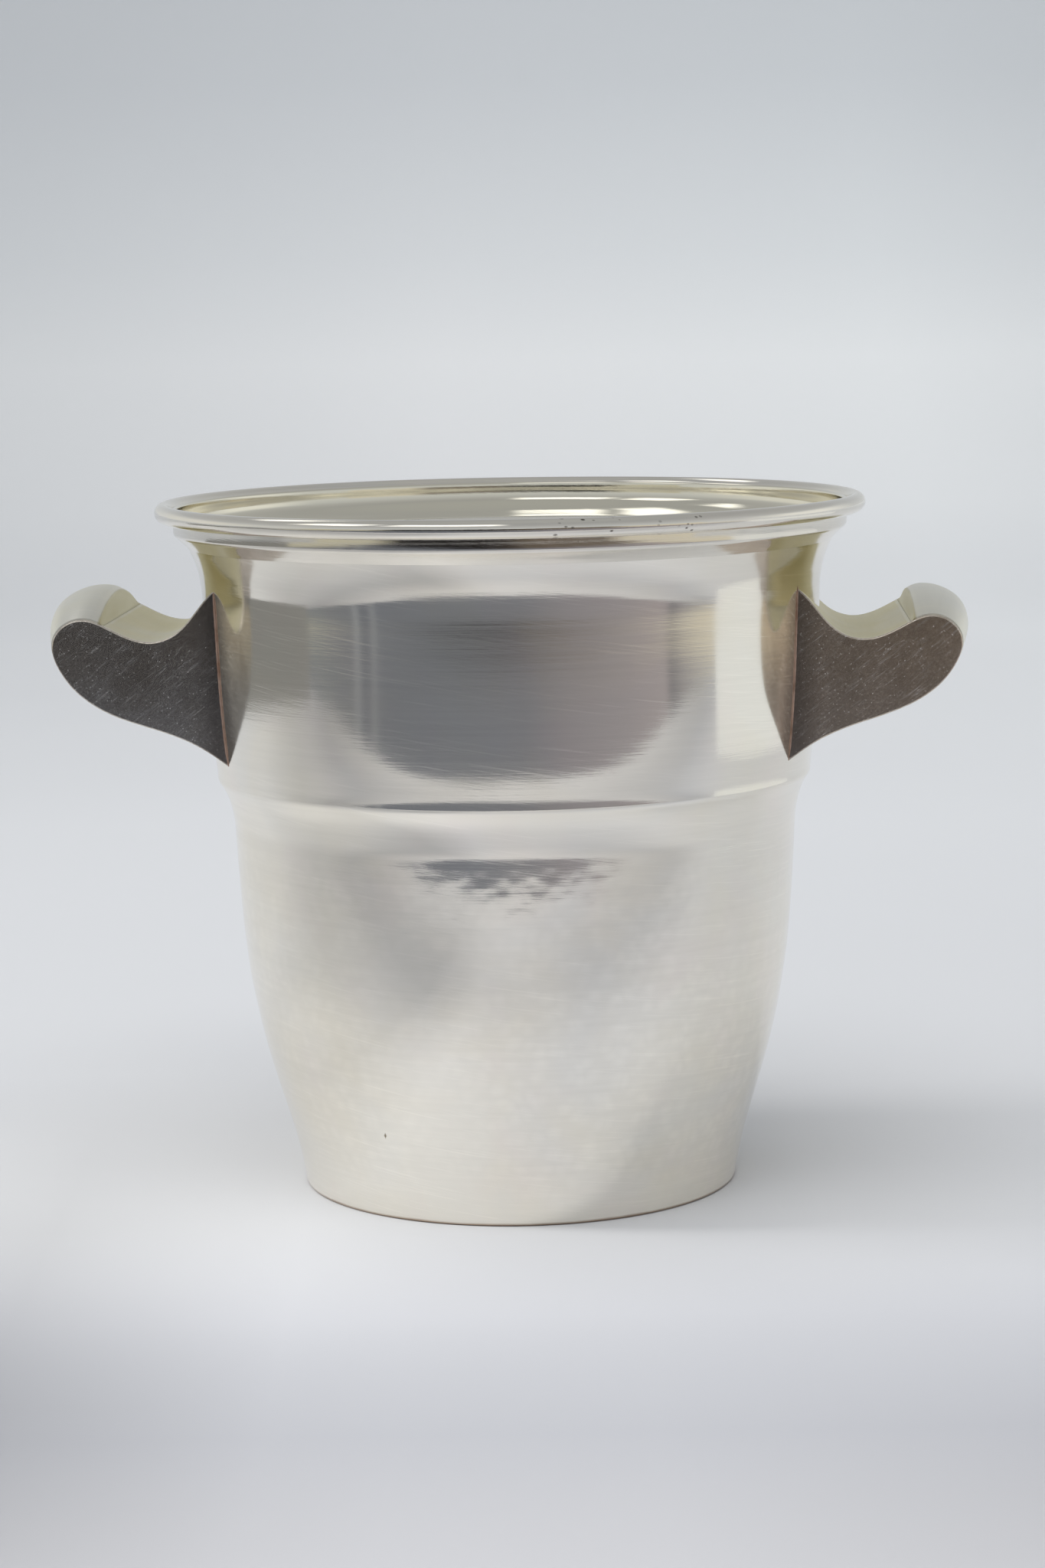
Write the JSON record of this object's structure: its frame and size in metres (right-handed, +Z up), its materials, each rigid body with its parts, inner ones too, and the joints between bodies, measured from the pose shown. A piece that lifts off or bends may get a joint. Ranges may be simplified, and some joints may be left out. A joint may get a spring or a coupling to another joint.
{
  "type": "champagne bucket",
  "caption": "Silver-plated champagne bucket with a stepped shoulder, flared neck, beaded mouth and a pair of hollow scrolled lug handles.",
  "frame": {"origin": "centre of the flat resting lip under the foot, on the surface it stands on", "axes": "+Z up through the mouth; +X through the handles; -Y towards the front of the bucket"},
  "size_m": [0.263, 0.203, 0.1985],
  "materials": {
    "body_silver": "polished silver plate with fine circumferential hairlines and soft hammer marks low down",
    "rim_silver": "polished silver plate with small dark pits along the bead",
    "handle_silver": "satin worn silver plate",
    "cheek_silver": "brushed silver plate with diagonal hairlines",
    "base_silver": "dull silver plate, scratched from use"
  },
  "bodies": {
    "root": {"body_shell": "body_silver", "base_disc": "base_silver", "rim_band": "rim_silver", "rim_bead": "rim_silver", "right_handle_front_cheek": "cheek_silver", "right_handle_rear_cheek": "cheek_silver", "right_handle_thumb_strip": "handle_silver", "right_handle_scroll_cap": "handle_silver", "right_handle_under_strip": "handle_silver", "left_handle_front_cheek": "cheek_silver", "left_handle_rear_cheek": "cheek_silver", "left_handle_thumb_strip": "handle_silver", "left_handle_scroll_cap": "handle_silver", "left_handle_under_strip": "handle_silver"}
  },
  "joints": []
}
